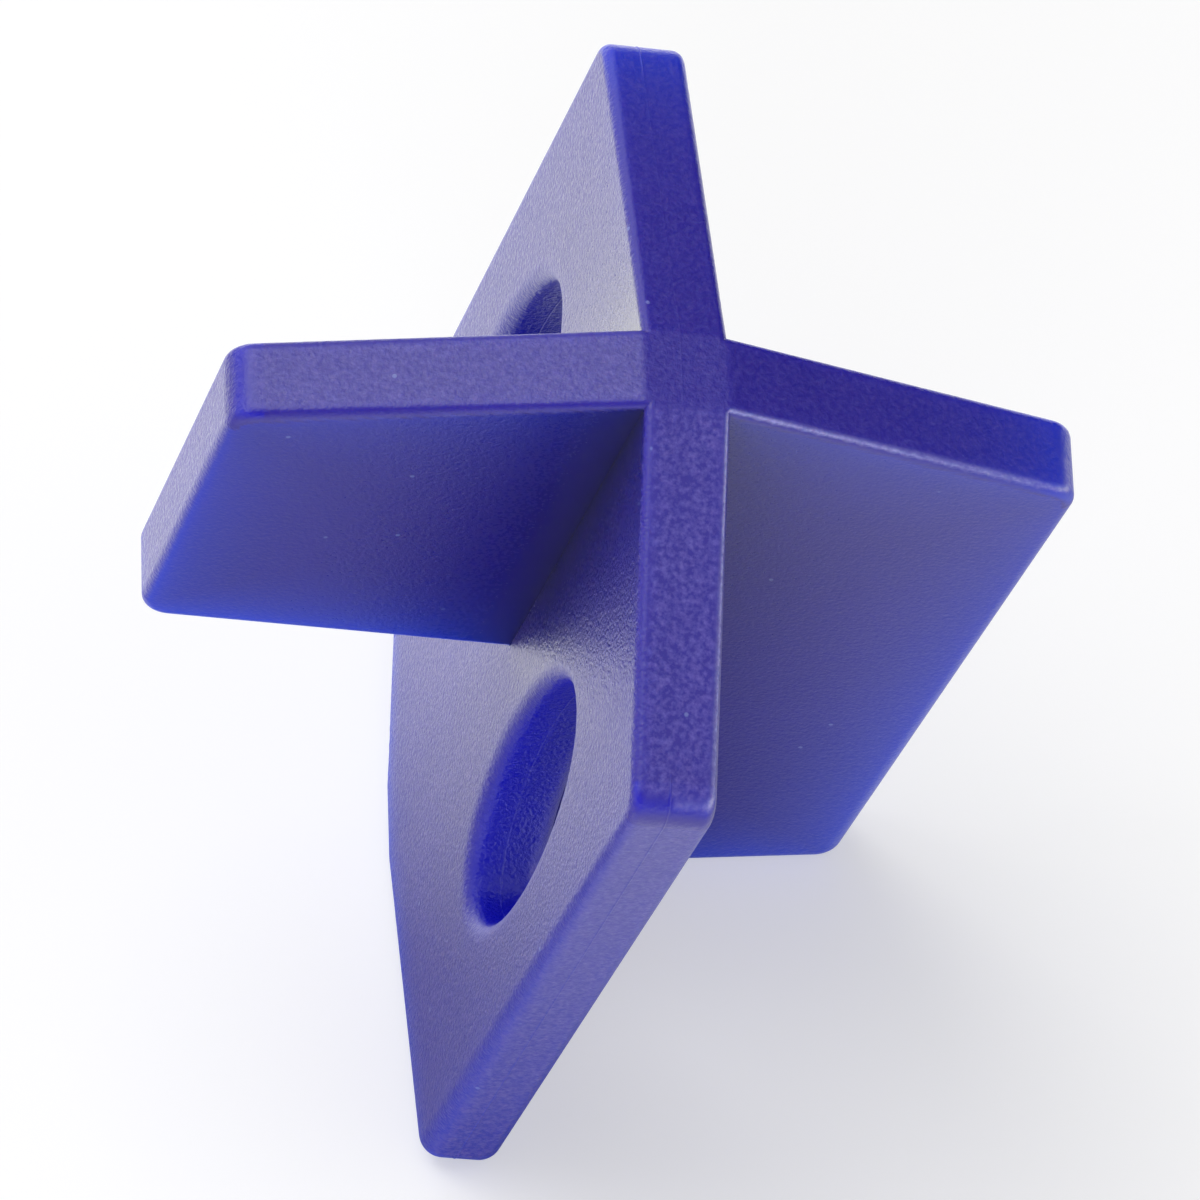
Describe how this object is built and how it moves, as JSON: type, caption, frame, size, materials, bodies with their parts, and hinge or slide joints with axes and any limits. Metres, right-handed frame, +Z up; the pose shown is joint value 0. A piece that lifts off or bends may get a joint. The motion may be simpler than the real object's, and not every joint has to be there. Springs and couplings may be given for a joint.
{
  "type": "tile spacer",
  "caption": "Double-ended moulded tile spacer: crossed arms in a plus at one end, a tee at the other, with oval pull holes through the plate. It sets the joint width between tiles.",
  "frame": {"origin": "on the table, under the middle of the spacer's box", "axes": "+Z up from the table; the spacer stands plus end up and leans on two tips of the tee end, with the plate's flat side towards +X and its long wing reaching to +X"},
  "size_m": [0.0344, 0.0382, 0.0384],
  "materials": {
    "plastic": "violet-blue plastic with a fine spark-eroded mould grain"
  },
  "bodies": {
    "root": {"spacer": "plastic"}
  },
  "joints": []
}
